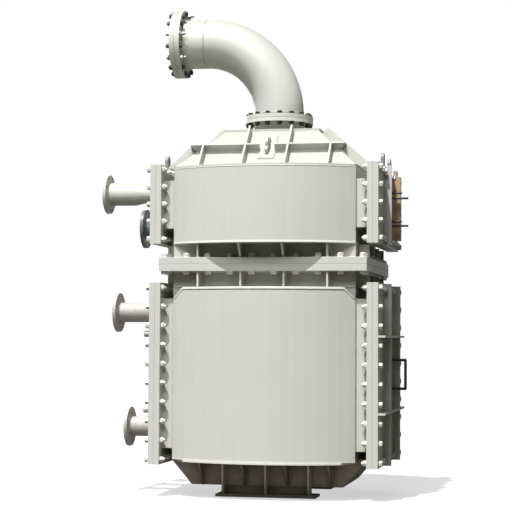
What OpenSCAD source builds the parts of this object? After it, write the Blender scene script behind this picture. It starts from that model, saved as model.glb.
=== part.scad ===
// Finned tube heat exchanger: a two-storey gas cooler in welded plate.
// Gas enters by the elbow on the roof, and water by nozzles in the left covers.
// X runs to the right along the tubes, Y to the rear and Z up.
// The origin is on the floor, midway between the four anchor holes.

/* [Shells] */
// Width of both shells over their side plates
body_w = 1270; // [1200:1:1400]
// Depth of both shells between the corners of the curved plates
body_d = 1120; // [1100:1:1240]
// Rise of the curved front and rear plates beyond their corners
bulge = 182; // [140:1:210]
// Thickness of the shell, pan and hood plates
plate_t = 12; // [8:1:16]
// Thickness of the rim plates that close the curved segments
rim_t = 16; // [10:1:22]
// Height of the lower shell's plates
lower_h = 1155; // [1120:1:1400]
// Height of the upper shell's plates
upper_h = 508; // [480:1:700]
// Width and height of the snipped upper corners of the lower curved plates
corner_cut = 75; // [40:1:90]

/* [Middle joint] */
// Width of the middle flanges
mid_w = 1442; // [1420:1:1520]
// Depth of the middle flanges
mid_d = 1272; // [1250:1:1340]
// Thickness of each middle flange
mid_t = 46; // [30:1:60]
// Thickness of the middle gasket
mid_gasket_t = 3; // [2:1:6]
// Depth of the collars over their front and rear walls
collar_d = 1116; // [1060:1:1140]
// Height of the collar under the middle flanges
lower_collar_h = 110; // [90:1:150]
// Height of the collar over the middle flanges
upper_collar_h = 94; // [80:1:150]

/* [Side flanges] */
// Length of the necks between the shells and the tube sheets
neck_l = 82; // [70:1:120]
// Depth of the side flanges
side_d = 1220; // [1180:1:1260]
// Height of the lower side flanges
lower_side_h = 1252; // [1200:1:1290]
// Height of the upper side flanges
upper_side_h = 552; // [530:1:590]
// Height of the upper side flanges' centre over that of the upper shell
upper_side_lift = 7; // [0:1:20]
// Width of the bolting edge of a side flange over and under its neck
side_edge = 110; // [90:1:120]
// Width of the bolting edge of a side flange before and behind its neck
side_edge_y = 65; // [55:1:110]
// Thickness of each tube sheet and each cover
side_t = 38; // [30:1:45]
// Thickness of the side gaskets
side_gasket_t = 2; // [1:1:5]

/* [Pan and feet] */
// Height of the feet under the drain pan
foot_h = 75; // [60:1:120]
// Height of the drain pan
pan_h = 169; // [140:1:220]
// Width of the drain pan's floor
pan_w0 = 1062; // [1000:1:1150]
// Width of the drain pan at its top
pan_w1 = 1356; // [1320:1:1420]
// Least clearance of the tube sheets from the drain pan's top
pan_clear = 10; // [5:1:30]
// Depth of the drain pan
pan_d = 800; // [700:1:900]
// Thickness of the bottom plate's full layer
floor_t = 12; // [8:1:20]
// Thickness of the bottom plate's snipped band
band_t = 14; // [8:1:20]
// How far the snipped band stands proud of the curved plates
band_proud = 6; // [2:1:12]
// Width of the band that is snipped off at each end
band_snip = 90; // [60:1:120]
// Length of each foot's sole plate
sole_l = 700; // [660:1:900]
// Width of each foot's sole plate
sole_w = 204; // [180:1:240]
// Thickness of the sole plates
sole_t = 18; // [12:1:25]
// How far the sole plates stand out beyond the pan's walls
sole_out = 66; // [60:1:90]
// Diameter of the anchor holes
anchor_hole = 26; // [18:1:34]
// Spacing of the anchor holes along a foot
anchor_x = 300; // [220:1:380]
// Distance of the anchor holes from the outer edge of the sole plates
anchor_edge = 38; // [30:1:50]

/* [Ribs] */
// Thickness of the ribs and gussets
rib_t = 14; // [8:1:18]
// Width of the level ribs on the covers
rib_w = 50; // [40:1:60]
// Spacing of the ribs along the width
rib_pitch_x = 300; // [270:1:320]
// Spacing of the ribs along the depth
rib_pitch_y = 275; // [250:1:290]
// Width of the drain pan's ribs at their top
pan_rib_w = 165; // [120:1:200]
// Width of the drain pan's ribs at their foot
pan_rib_toe = 12; // [8:1:40]
// Distance that the gussets stop short of a flange's edge
gusset_back = 11; // [6:1:20]

/* [Hood] */
// Height of the hood with its roof plate
hood_h = 287; // [260:1:340]
// Width of the roof plate
roof_w = 680; // [620:1:740]
// Depth of the roof plate
roof_d = 570; // [500:1:620]
// Thickness of the roof plate
roof_t = 20; // [12:1:30]
// Width of the hood's ribs and stiffening ring
hood_rib_w = 60; // [45:1:75]
// Height of the stiffening ring over the hood's foot
ring_h = 118; // [100:1:150]
// Distance of the lifting lugs' middle up the slope from the ring
lug_up = 29; // [26:1:45]
// Width of the lifting lugs' doubler plates
doubler_w = 106; // [90:1:140]
// Length of the doubler plates up the slope
doubler_l = 250; // [200:1:270]
// Thickness of the doubler plates
doubler_t = 10; // [6:1:16]
// Thickness of the lifting lugs on the hood
hood_lug_t = 20; // [14:1:26]
// Height of the lifting lugs over their doubler plates
hood_lug_h = 78; // [70:1:100]
// Length of the lifting lugs up the slope
hood_lug_l = 156; // [140:1:190]
// Diameter of the lifting lugs' eyes
lug_eye = 36; // [24:1:44]

/* [Gas elbow] */
// Outer diameter of the gas pipe
pipe_od = 355.6; // [330:0.1:365]
// Wall of the gas pipe
pipe_t = 9.5; // [6:0.5:14]
// Diameter of the gas flanges
gas_flange_od = 490; // [480:1:520]
// Thickness of each gas flange
gas_flange_t = 26; // [20:1:36]
// Thickness of the gas gaskets
gas_gasket_t = 2; // [1:1:4]
// Diameter of the circle of gas flange bolts
gas_pcd = 445; // [430:1:450]
// Number of bolts in a gas flange
gas_bolts = 16; // [12:4:16]
// Diameter of the gas flange holes
gas_hole = 25; // [18:1:27]
// Height of the neck's flange over the roof
roof_neck_h = 66; // [40:1:90]
// Depth of the neck below the roof
neck_drop = 50; // [40:1:70]
// Length of the hub between the elbow and its lower flange
hub_l = 19; // [4:1:30]
// Bend radius of the elbow
bend_r = 530; // [480:1:600]
// Length of the straight pipe after the elbow
spool_l = 163; // [120:1:300]
// Thickness of the elbow's end flange
end_flange_t = 36; // [22:1:42]
// Thickness of the blanking plate
blank_t = 36; // [20:1:42]

/* [Water nozzles] */
// Distance of the nozzles in front of the middle of the covers
nozzle_y = 165; // [100:1:200]
// Diameter of the nozzle flanges
nozzle_flange_od = 280; // [270:1:300]
// Thickness of the nozzle flanges
nozzle_flange_t = 22; // [16:1:28]
// Diameter of the circle of nozzle bolts
nozzle_pcd = 240; // [228:1:244]
// Number of bolts in a nozzle flange
nozzle_bolts = 8; // [4:4:8]
// Diameter of the nozzle flange holes
nozzle_hole = 23; // [16:1:25]
// Outer diameter of the upper outlet pipe
upper_pipe_od = 165.2; // [150:0.1:170]
// Outer diameter of the other water pipes
water_pipe_od = 139.8; // [110:0.1:150]
// Wall of the water pipes
water_pipe_t = 5; // [4:0.5:8]
// Length of the reducer on the upper outlet
reducer_l = 90; // [60:1:130]
// Diameter of the upper outlet pipe behind its reducer
reducer_od = 128; // [110:1:140]
// Length of the pipe behind the reducer, outside the cover
tail_l = 135; // [100:1:180]
// Reach of the upper outlet beyond its cover
upper_outlet_reach = 437; // [400:1:560]
// Height of the upper outlet over the upper covers' centre
upper_outlet_up = 110; // [100:1:130]
// Reach of the upper inlet beyond its cover
upper_inlet_reach = 157; // [120:1:220]
// Depth of the upper inlet under the upper covers' centre
upper_inlet_down = 141; // [130:1:150]
// Reach of the lower outlet beyond its cover
lower_outlet_reach = 354; // [250:1:420]
// Height of the lower outlet over the lower covers' centre
lower_outlet_up = 425; // [360:1:450]
// Reach of the lower inlet beyond its cover
lower_inlet_reach = 263; // [200:1:340]
// Depth of the lower inlet under the lower covers' centre
lower_inlet_down = 391; // [340:1:450]
// Diameter of the vent and drain couplings
coupling_od = 45; // [30:1:60]
// Reach of the couplings beyond the cover
coupling_reach = 150; // [60:1:180]
// Spread of the couplings about the lower covers' centre
coupling_spread = 272; // [230:1:280]

/* [Cover fittings] */
// Distance of the covers' upright ribs from their middle
upright_y = 285; // [260:1:320]
// Width of the covers' upright ribs
upright_w = 54; // [45:1:60]
// Height of the level ribs over and under the lower cover's centre
level_rib_z = 261; // [220:1:300]
// Distance of the clamp studs from the middle of the upper cover
stud_y = 215; // [180:1:235]
// Height of the clamp studs over and under their centre
stud_z = 100; // [80:1:130]
// Depth of the clamp studs' centre under that of the cover
stud_down = 7; // [0:1:30]
// Diameter of the clamp studs
stud_d = 16; // [12:1:24]
// Reach of the clamp studs beyond the cover
stud_l = 118; // [80:1:150]
// Thickness of a timber batten
batten_t = 27; // [18:1:30]
// Width of a timber batten
batten_w = 50; // [40:1:70]
// Height of the inner batten above the flange, and of the outer one below it
batten_step = 22; // [5:1:30]
// Height of the battens' lower ends over the cover's lower edge
batten_up = 65; // [0:1:120]
// Diameter of the grab handle's bar
handle_d = 20; // [14:1:26]
// Height of the grab handle between its legs
handle_h = 206; // [160:1:240]
// Reach of the grab handle beyond the cover
handle_reach = 106; // [80:1:130]
// Depth of the grab handle's middle under that of the cover
handle_down = 9; // [0:1:60]
// Distance of the grab handle behind the middle of the cover
handle_y = 240; // [200:1:262]
// Thickness of the lifting lugs on the covers
cover_lug_t = 22; // [16:1:36]
// Height of the cover lugs
cover_lug_h = 100; // [80:1:120]
// Width of the cover lugs
cover_lug_w = 76; // [64:1:100]
// Distance of the cover lugs from the middle of the covers
cover_lug_y = 200; // [150:1:250]

/* [Hidden] */
$fn = 96;
fit_gap = 0.3;
cut = 1;

// Levels from the floor up
z_pan = foot_h;
z_floor = z_pan + pan_h;
z_low0 = z_floor + band_t + floor_t;
z_low1 = z_low0 + lower_h;
z_low_top = z_low1 + rim_t;
z_mid0 = z_low_top + lower_collar_h;
z_mid1 = z_mid0 + mid_t;
z_mid2 = z_mid1 + mid_gasket_t;
z_mid3 = z_mid2 + mid_t;
z_up_floor = z_mid3 + upper_collar_h;
z_up0 = z_up_floor + rim_t;
z_up1 = z_up0 + upper_h;
z_hood0 = z_up1 + rim_t;
z_hood1 = z_hood0 + hood_h;
z_roof = z_hood1 - roof_t;
z_gas0 = z_hood1 + roof_neck_h;
z_gas1 = z_gas0 + gas_flange_t + gas_gasket_t;
z_bend = z_gas1 + gas_flange_t + hub_l;
z_inlet = z_bend + bend_r;

// Plan of the shells
half_w = body_w / 2;
half_d = body_d / 2;
arc_r = (half_w * half_w + bulge * bulge) / (2 * bulge);
arc_y = half_d + bulge - arc_r;
collar_in_w = body_w - 2 * plate_t;
collar_in_d = collar_d - 2 * plate_t;
rib_xs = [-1.5 * rib_pitch_x, -0.5 * rib_pitch_x, 0.5 * rib_pitch_x, 1.5 * rib_pitch_x];
rib_ys = [-1.5 * rib_pitch_y, -0.5 * rib_pitch_y, 0.5 * rib_pitch_y, 1.5 * rib_pitch_y];

// Side flanges
x_sheet0 = max(half_w + neck_l, pan_w1 / 2 + pan_clear);
x_sheet1 = x_sheet0 + side_t;
x_cover0 = x_sheet1 + side_gasket_t;
x_cover1 = x_cover0 + side_t;
lower_side_z = (z_low0 + z_low1) / 2;
upper_side_z = (z_up0 + z_up1) / 2 + upper_side_lift;
neck_d = side_d - 2 * side_edge_y;
lower_neck_h = lower_side_h - 2 * side_edge;
upper_neck_h = upper_side_h - 2 * side_edge;

// Slopes of the hood
front_run = (collar_d - roof_d) / 2;
side_run = (body_w - roof_w) / 2;
slope_h = hood_h - roof_t;
front_len = norm([front_run, slope_h]);
side_len = norm([side_run, slope_h]);
ring_share = ring_h / slope_h;

// Gas pipe
pipe_r = pipe_od / 2;
bore_r = pipe_r - pipe_t;
straddling = 0.5;
x_end_flange = -bend_r - spool_l;
x_blank = x_end_flange - end_flange_t - gas_gasket_t;

// Feet
foot_y = pan_d / 2 + sole_out;
anchor_y = foot_y - anchor_edge;

// Finishes
paint = [0.83, 0.83, 0.79];
bare_metal = [0.62, 0.60, 0.57];
slate = [0.24, 0.28, 0.29];
timber = [0.66, 0.50, 0.33];
black_steel = [0.12, 0.12, 0.12];
gasket_grey = [0.32, 0.33, 0.32];

// A level slab centred on the Z axis
module slab(w, d, z0, z1) {
    translate([-w / 2, -d / 2, z0]) cube([w, d, z1 - z0]);
}

// Four bars round a rectangular opening
module window_slab(w, d, in_w, in_d, z0, z1) {
    front_and_rear() translate([-w / 2, -d / 2, z0]) cube([w, (d - in_d) / 2, z1 - z0]);
    right_and_left() translate([in_w / 2, -in_d / 2 + fit_gap, z0])
        cube([(w - in_w) / 2, in_d - 2 * fit_gap, z1 - z0]);
}

// An upright plate across X whose outline is given in Y and Z
module cross_plate(points, x, t) {
    translate([x - t / 2, 0, 0]) rotate([90, 0, 90]) linear_extrude(t) polygon(points);
}

// An upright plate across Y whose outline is given in X and Z
module long_plate(points, y, t) {
    translate([0, y + t / 2, 0]) rotate([90, 0, 0]) linear_extrude(t) polygon(points);
}

// A cylinder along X
module x_rod(x0, x1, y, z, r) {
    translate([x0, y, z]) rotate([0, 90, 0]) cylinder(h = x1 - x0, r = r);
}

// The part repeated at the rear as a mirror image
module front_and_rear() {
    children();
    mirror([0, 1, 0]) children();
}

// The part repeated on the left as a mirror image
module right_and_left() {
    children();
    mirror([1, 0, 0]) children();
}

// Plan of a shell: straight sides and two arcs, grown outwards by a margin
module shell_plan(grow = 0) {
    intersection() {
        square([body_w + 2 * grow, 2 * (arc_r + half_d)], center = true);
        translate([0, -arc_y]) circle(r = arc_r + grow);
        translate([0, arc_y]) circle(r = arc_r + grow);
    }
}

// Space in front of the shell's corners
module front_space(z0, z1) {
    translate([-body_w, -half_d - 2 * bulge, z0]) cube([2 * body_w, 2 * bulge, z1 - z0]);
}

// One curved plate, with its ends meeting the side plates
module curved_plate(z0, z1) {
    intersection() {
        front_space(z0, z1);
        difference() {
            translate([0, 0, z0]) linear_extrude(z1 - z0) shell_plan();
            translate([0, 0, z0 - cut]) linear_extrude(z1 - z0 + 2 * cut) shell_plan(-plate_t);
        }
    }
}

// Wedge that snips an upper corner of the lower curved plate, inset by a margin
module corner_wedge(inset) {
    top = z_low_top + cut;
    rise = corner_cut + inset + cut;
    long_plate([
        [half_w + cut, top - rise - cut],
        [half_w + cut, top],
        [half_w - rise, top]
    ], -half_d - bulge, 2 * bulge);
}

// Snipped corner of the lower curved plate, closed by a thick block behind the cut
module snipped_curved_plate() {
    difference() {
        union() {
            curved_plate(z_low0, z_low1);
            intersection() {
                front_space(z_low0, z_low1);
                translate([0, 0, z_low0]) linear_extrude(lower_h) shell_plan();
                right_and_left() corner_wedge(2 * plate_t);
            }
        }
        right_and_left() corner_wedge(0);
    }
}

// Two side plates, each of four strips round the opening behind its neck
module side_plate_pair(z0, z1, neck_z, neck_h) {
    open_d = neck_d - 2 * plate_t;
    open_z0 = neck_z - neck_h / 2 + plate_t;
    open_z1 = neck_z + neck_h / 2 - plate_t;
    right_and_left() {
        front_and_rear() translate([half_w - plate_t, -half_d, z0])
            cube([plate_t, (body_d - open_d) / 2, z1 - z0]);
        for (span = [[z0, open_z0], [open_z1, z1]]) {
            translate([half_w - plate_t, -open_d / 2 + fit_gap, span[0]])
                cube([plate_t, open_d - 2 * fit_gap, span[1] - span[0]]);
        }
    }
}

// A rectangular neck of four plates from the right side plate to its tube sheet
module neck(neck_z, neck_h) {
    for (z = [neck_z - neck_h / 2, neck_z + neck_h / 2 - plate_t]) {
        translate([half_w, -neck_d / 2, z]) cube([x_sheet0 - half_w, neck_d, plate_t]);
    }
    front_and_rear() translate([half_w, -neck_d / 2, neck_z - neck_h / 2 + plate_t + fit_gap])
        cube([x_sheet0 - half_w, plate_t, neck_h - 2 * (plate_t + fit_gap)]);
}

// A side flange plate between two distances from the middle, on the right
module side_flange(x0, x1, z, h) {
    translate([x0, -side_d / 2, z - h / 2]) cube([x1 - x0, side_d, h]);
}

// A rim plate over the whole plan, in four pieces round the collar's opening
module rim_plate(z0, z1) {
    front_and_rear() intersection() {
        translate([0, 0, z0]) linear_extrude(z1 - z0) shell_plan();
        translate([-body_w, -collar_in_d / 2 - body_d, z0]) cube([2 * body_w, body_d, z1 - z0]);
    }
    right_and_left() translate([collar_in_w / 2, -collar_in_d / 2 + fit_gap, z0])
        cube([plate_t, collar_in_d - 2 * fit_gap, z1 - z0]);
}

// Distance of the curved plate from the X axis at a given X
function arc_at(x) = sqrt(arc_r * arc_r - x * x) + arc_y;

// Feet: sole plate, web and three tall gussets that stand against the pan's wall
module foot() {
    gusset_y = foot_y - gusset_back;
    web_y = foot_y - sole_w / 2;
    top_y = pan_d / 2 + sole_out + gusset_back;
    difference() {
        translate([-sole_l / 2, -foot_y, 0]) cube([sole_l, sole_w, sole_t]);
        right_and_left() translate([anchor_x / 2, -anchor_y, -cut])
            cylinder(h = sole_t + 2 * cut, d = anchor_hole);
    }
    translate([-rib_pitch_x, -web_y, sole_t]) cube([2 * rib_pitch_x, rib_t, foot_h - sole_t]);
    for (x = [-rib_pitch_x, 0, rib_pitch_x]) {
        cross_plate([
            [-gusset_y, sole_t], [-web_y + rib_t, sole_t], [-web_y + rib_t, z_pan],
            [-pan_d / 2, z_pan], [-pan_d / 2, z_floor], [-top_y, z_floor]
        ], x, rib_t);
    }
}

module foot_front() {
    color(paint) foot();
}

module foot_rear() {
    color(paint) mirror([0, 1, 0]) foot();
}

// Trough of five plates under the lower shell, with sloping ends
module drain_pan() {
    end_run = (pan_w1 - pan_w0) / 2;
    end_t = plate_t * norm([end_run, pan_h]) / pan_h;
    inner_d = pan_d - 2 * (plate_t + fit_gap);
    color(paint) {
        front_and_rear() long_plate([
            [-pan_w0 / 2, z_pan], [pan_w0 / 2, z_pan],
            [pan_w1 / 2, z_floor], [-pan_w1 / 2, z_floor]
        ], -(pan_d - plate_t) / 2, plate_t);
        right_and_left() long_plate([
            [pan_w0 / 2 - end_t, z_pan], [pan_w0 / 2, z_pan],
            [pan_w1 / 2, z_floor], [pan_w1 / 2 - end_t, z_floor]
        ], 0, inner_d);
        slab(pan_w0 - 2 * (end_t + fit_gap), inner_d, z_pan, z_pan + plate_t);
    }
}

// Tapered ribs from the pan's walls out to the overhang of the bottom plate
module pan_ribs() {
    wall_y = pan_d / 2;
    color(paint) front_and_rear() for (x = rib_xs) {
        cross_plate([
            [-wall_y, z_pan], [-wall_y - pan_rib_toe, z_pan],
            [-wall_y - pan_rib_w, z_floor], [-wall_y, z_floor]
        ], x, rib_t);
    }
}

// Both layers of the bottom plate: a snipped band under a full layer that covers the pan's ends
module bottom_layers() {
    snip_x = half_w - band_snip;
    snip_y = arc_at(snip_x) + band_proud;
    translate([0, 0, z_floor]) linear_extrude(band_t) intersection() {
        shell_plan(band_proud);
        polygon([
            [-half_w - band_proud, half_d - band_snip], [-snip_x, snip_y],
            [-snip_x, snip_y + bulge], [snip_x, snip_y + bulge],
            [snip_x, snip_y], [half_w + band_proud, half_d - band_snip],
            [half_w + band_proud, band_snip - half_d], [snip_x, -snip_y],
            [snip_x, -snip_y - bulge], [-snip_x, -snip_y - bulge],
            [-snip_x, -snip_y], [-half_w - band_proud, band_snip - half_d]
        ]);
    }
    translate([0, 0, z_floor + band_t]) linear_extrude(floor_t) shell_plan();
    slab(pan_w1, pan_d, z_floor, z_low0);
}

// Bottom plate in four pieces round the opening over the pan
module bottom_plate() {
    open_y = pan_d / 2 - plate_t;
    color(paint) {
        front_and_rear() intersection() {
            bottom_layers();
            translate([-body_w, -open_y - body_d, z_floor]) cube([2 * body_w, body_d, z_low0 - z_floor]);
        }
        right_and_left() intersection() {
            bottom_layers();
            translate([pan_w0 / 2, fit_gap - open_y, z_floor])
                cube([body_w, 2 * (open_y - fit_gap), z_low0 - z_floor]);
        }
    }
}

module lower_front_plate() {
    color(paint) snipped_curved_plate();
}

module lower_rear_plate() {
    color(paint) mirror([0, 1, 0]) snipped_curved_plate();
}

// Side plates, with a small corner plate behind each snipped corner
module lower_side_plates() {
    corner = corner_cut + 2 * plate_t;
    color(paint) {
        side_plate_pair(z_low0, z_low1, lower_side_z, lower_neck_h);
        right_and_left() front_and_rear() long_plate([
            [half_w - plate_t, z_low1 - corner],
            [half_w - plate_t, z_low1],
            [half_w - corner, z_low1]
        ], -half_d + plate_t / 2, plate_t);
    }
}

module lower_rim_plate() {
    color(paint) difference() {
        rim_plate(z_low1, z_low_top);
        right_and_left() front_and_rear() corner_wedge(0);
    }
}

module side_necks() {
    color(paint) right_and_left() {
        neck(lower_side_z, lower_neck_h);
        neck(upper_side_z, upper_neck_h);
    }
}

module lower_tube_sheets() {
    color(paint) right_and_left() side_flange(x_sheet0, x_sheet1, lower_side_z, lower_side_h);
}

// Left covers are drilled for the nozzles' pipes
module lower_left_cover() {
    hole_r = water_pipe_od / 2 + fit_gap;
    color(paint) difference() {
        mirror([1, 0, 0]) side_flange(x_cover0, x_cover1, lower_side_z, lower_side_h);
        for (z = [lower_side_z + lower_outlet_up, lower_side_z - lower_inlet_down]) {
            x_rod(-x_cover1 - cut, -x_cover0 + cut, -nozzle_y, z, hole_r);
        }
    }
}

module lower_right_cover() {
    color(paint) side_flange(x_cover0, x_cover1, lower_side_z, lower_side_h);
}

// Upright flat bars on the right lower cover, with level bars fitted between them
module lower_cover_ribs() {
    z0 = lower_side_z - lower_side_h / 2;
    color(paint) {
        for (y = [-upright_y, upright_y]) {
            translate([x_cover1, y - rib_t / 2, z0]) cube([upright_w, rib_t, lower_side_h]);
        }
        for (z = [lower_side_z - level_rib_z, lower_side_z + level_rib_z]) {
            difference() {
                translate([x_cover1, -side_d / 2, z - rib_t / 2]) cube([rib_w, side_d, rib_t]);
                for (y = [-upright_y, upright_y]) {
                    translate([x_cover1 - cut, y - rib_t / 2 - fit_gap, z0])
                        cube([rib_w + 2 * cut, rib_t + 2 * fit_gap, lower_side_h]);
                }
            }
        }
    }
}

// Bent round bar welded to the cover by its two legs
module lower_cover_handle() {
    bar_x = x_cover1 + handle_reach - handle_d / 2;
    bar_z = lower_side_z - handle_down - handle_h / 2;
    color(black_steel) {
        for (z = [bar_z, bar_z + handle_h]) {
            x_rod(x_cover1, bar_x, handle_y, z, handle_d / 2);
            translate([bar_x, handle_y, z]) sphere(d = handle_d);
        }
        translate([bar_x, handle_y, bar_z]) cylinder(h = handle_h, d = handle_d);
    }
}

module lower_collar() {
    color(paint) window_slab(body_w, collar_d, collar_in_w, collar_in_d, z_low_top, z_mid0);
}

// Gussets between the collars and the middle flanges
module collar_gussets() {
    wall_y = collar_d / 2;
    edge_y = mid_d / 2 - gusset_back;
    edge_x = min(mid_w / 2, x_sheet0) - gusset_back / 2;
    color(paint) {
        front_and_rear() for (x = rib_xs) {
            lip_y = arc_at(x) - gusset_back;
            cross_plate([
                [-wall_y, z_mid3], [-edge_y, z_mid3], [-lip_y, z_up_floor], [-wall_y, z_up_floor]
            ], x, rib_t);
            cross_plate([
                [-wall_y, z_low_top], [-edge_y, z_low_top], [-edge_y, z_mid0], [-wall_y, z_mid0]
            ], x, rib_t);
        }
        right_and_left() for (y = rib_ys) {
            long_plate([
                [half_w, z_mid3], [edge_x, z_mid3], [edge_x, z_up_floor], [half_w, z_up_floor]
            ], y, rib_t);
            long_plate([
                [half_w, z_low_top], [edge_x, z_low_top], [edge_x, z_mid0], [half_w, z_mid0]
            ], y, rib_t);
        }
    }
}

module middle_flange_lower() {
    color(paint) window_slab(mid_w, mid_d, collar_in_w, collar_in_d, z_mid0, z_mid1);
}

module middle_flange_upper() {
    color(paint) window_slab(mid_w, mid_d, collar_in_w, collar_in_d, z_mid2, z_mid3);
}

module upper_collar() {
    color(paint) window_slab(body_w, collar_d, collar_in_w, collar_in_d, z_mid3, z_up_floor);
}

module upper_floor_plate() {
    color(paint) rim_plate(z_up_floor, z_up0);
}

module upper_front_plate() {
    color(paint) curved_plate(z_up0, z_up1);
}

module upper_rear_plate() {
    color(paint) mirror([0, 1, 0]) curved_plate(z_up0, z_up1);
}

module upper_side_plates() {
    color(paint) side_plate_pair(z_up0, z_up1, upper_side_z, upper_neck_h);
}

module upper_rim_plate() {
    color(paint) rim_plate(z_up1, z_hood0);
}

module upper_tube_sheets() {
    color(paint) right_and_left() side_flange(x_sheet0, x_sheet1, upper_side_z, upper_side_h);
}

module upper_left_cover() {
    color(paint) difference() {
        mirror([1, 0, 0]) side_flange(x_cover0, x_cover1, upper_side_z, upper_side_h);
        x_rod(-x_cover1 - cut, -x_cover0 + cut, -nozzle_y,
            upper_side_z + upper_outlet_up, reducer_od / 2 + fit_gap);
        x_rod(-x_cover1 - cut, -x_cover0 + cut, -nozzle_y,
            upper_side_z - upper_inlet_down, water_pipe_od / 2 + fit_gap);
    }
}

module upper_right_cover() {
    color(paint) side_flange(x_cover0, x_cover1, upper_side_z, upper_side_h);
}

module upper_cover_rib() {
    translate([x_cover1, -upright_y - rib_t / 2, upper_side_z - upper_side_h / 2])
        color(paint) cube([upright_w, rib_t, upper_side_h]);
}

// Two battens, one on the other, behind the rear clamp studs
module timber_battens() {
    z0 = upper_side_z - upper_side_h / 2 + batten_up;
    batten_h = upper_side_h - batten_up;
    color(timber) {
        translate([x_cover1, upright_y, z0]) cube([batten_t, batten_w, batten_h + batten_step]);
        translate([x_cover1 + batten_t + fit_gap, upright_y, z0])
            cube([batten_t, batten_w, batten_h - batten_step]);
    }
}

module clamp_studs() {
    color(black_steel) for (y = [-stud_y, stud_y], z = [-stud_z, stud_z]) {
        x_rod(x_cover1, x_cover1 + stud_l, y, upper_side_z - stud_down + z, stud_d / 2);
    }
}

// Lifting lugs with round tops on the upper covers
module cover_lugs() {
    eye_z = cover_lug_h - cover_lug_w / 2;
    x = (x_cover0 + x_cover1) / 2;
    z = upper_side_z + upper_side_h / 2;
    color(paint) right_and_left() front_and_rear() {
        translate([x - cover_lug_t / 2, -cover_lug_y, z]) rotate([90, 0, 90]) linear_extrude(cover_lug_t)
            difference() {
                union() {
                    translate([-cover_lug_w / 2, 0]) square([cover_lug_w, eye_z]);
                    translate([0, eye_z]) circle(d = cover_lug_w);
                }
                translate([0, eye_z]) circle(d = lug_eye);
            }
    }
}

// Endless ridge with the slope of the hood's ends, and one with that of its front, both inset
module end_ridge(inset) {
    w = half_w - inset * side_len / slope_h;
    long_plate([
        [-w, z_hood0], [w, z_hood0], [w - side_run, z_roof], [side_run - w, z_roof]
    ], 0, 2 * body_d);
}

module front_ridge(inset) {
    d = collar_d / 2 - inset * front_len / slope_h;
    cross_plate([
        [-d, z_hood0], [d, z_hood0], [d - front_run, z_roof], [front_run - d, z_roof]
    ], 0, 2 * body_w);
}

// Pyramid of four sloping plates under a roof plate with a hole for the neck
module hood() {
    color(paint) {
        intersection() {
            end_ridge(0);
            difference() {
                front_ridge(0);
                front_ridge(plate_t);
            }
        }
        intersection() {
            front_ridge(plate_t + fit_gap);
            difference() {
                end_ridge(0);
                end_ridge(plate_t);
            }
        }
        difference() {
            slab(roof_w, roof_d, z_roof + fit_gap, z_hood1);
            translate([0, 0, z_roof - cut]) cylinder(h = roof_t + 2 * cut, r = pipe_r + fit_gap);
        }
    }
}

// A rib on a slope that faces -Y, from the rim up to a distance along the slope
module slope_rib(x, base, run, len, reach) {
    foot_out = hood_rib_w * len / slope_h;
    tip_y = -base + reach * run / len;
    tip_z = z_hood0 + reach * slope_h / len;
    cross_plate([
        [-base, z_hood0], [-base - foot_out, z_hood0],
        [tip_y - hood_rib_w * slope_h / len, tip_z + hood_rib_w * run / len], [tip_y, tip_z]
    ], x, rib_t);
}

// Four ribs on a slope, the outer two up to the ring and the inner two up to the roof
module slope_ribs(places, base, run, len) {
    for (i = [0 : 3]) {
        slope_rib(places[i], base, run, len, i == 0 || i == 3 ? len * ring_share + rib_t / 2 : len);
    }
}

module hood_ribs() {
    color(paint) {
        front_and_rear() slope_ribs(rib_xs, collar_d / 2, front_run, front_len);
        for (turn = [90, -90]) {
            rotate([0, 0, turn]) slope_ribs(rib_ys, half_w, side_run, side_len);
        }
    }
}

// A flat bar that stands square on a slope that faces -Y, cut where the ribs cross it
module ring_bar(base, run, half_in, half_out, rib_places) {
    difference() {
        translate([0, -base + run * ring_share, z_hood0 + ring_h])
            rotate([90 + atan2(slope_h, run), 0, 0])
            linear_extrude(rib_t, center = true)
            polygon([[-half_in, 0], [half_in, 0], [half_out, hood_rib_w], [-half_out, hood_rib_w]]);
        for (x = rib_places) {
            translate([x - rib_t / 2 - fit_gap, -2 * base, z_hood0])
                cube([rib_t + 2 * fit_gap, 2 * base, hood_h]);
        }
    }
}

// Stiffening ring in lengths between the ribs, open over the doubler plates and set back at its corners
module hood_ring() {
    corner_back = 1.5 * rib_t;
    in_w = half_w - side_run * ring_share;
    in_d = collar_d / 2 - front_run * ring_share;
    out_w = in_w + hood_rib_w * slope_h / side_len;
    out_d = in_d + hood_rib_w * slope_h / front_len;
    color(paint) {
        front_and_rear() difference() {
            ring_bar(collar_d / 2, front_run, in_w, out_w, rib_xs);
            translate([-doubler_w / 2 - fit_gap, -body_d, z_hood0])
                cube([doubler_w + 2 * fit_gap, 2 * body_d, hood_h]);
        }
        for (turn = [90, -90]) {
            rotate([0, 0, turn])
                ring_bar(half_w, side_run, in_d - corner_back, out_d - corner_back, rib_ys);
        }
    }
}

// Lifting lug on the middle of a slope: doubler plate and eye plate
module hood_lug() {
    mid_s = front_len * ring_share + lug_up;
    translate([0, -collar_d / 2 + mid_s * front_run / front_len, z_hood0 + mid_s * slope_h / front_len])
        rotate([atan2(slope_h, front_run), 0, 0]) {
            translate([-doubler_w / 2, -doubler_l / 2, 0]) cube([doubler_w, doubler_l, doubler_t]);
            translate([-hood_lug_t / 2, 0, doubler_t]) rotate([90, 0, 90]) linear_extrude(hood_lug_t)
                difference() {
                    union() {
                        translate([-hood_lug_l / 2, 0]) square([hood_lug_l, hood_lug_h / 2]);
                        translate([0, hood_lug_h / 2]) circle(d = hood_lug_h);
                    }
                    translate([0, hood_lug_h / 2]) circle(d = lug_eye);
                }
        }
}

module hood_lugs() {
    color(paint) front_and_rear() hood_lug();
}

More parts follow.
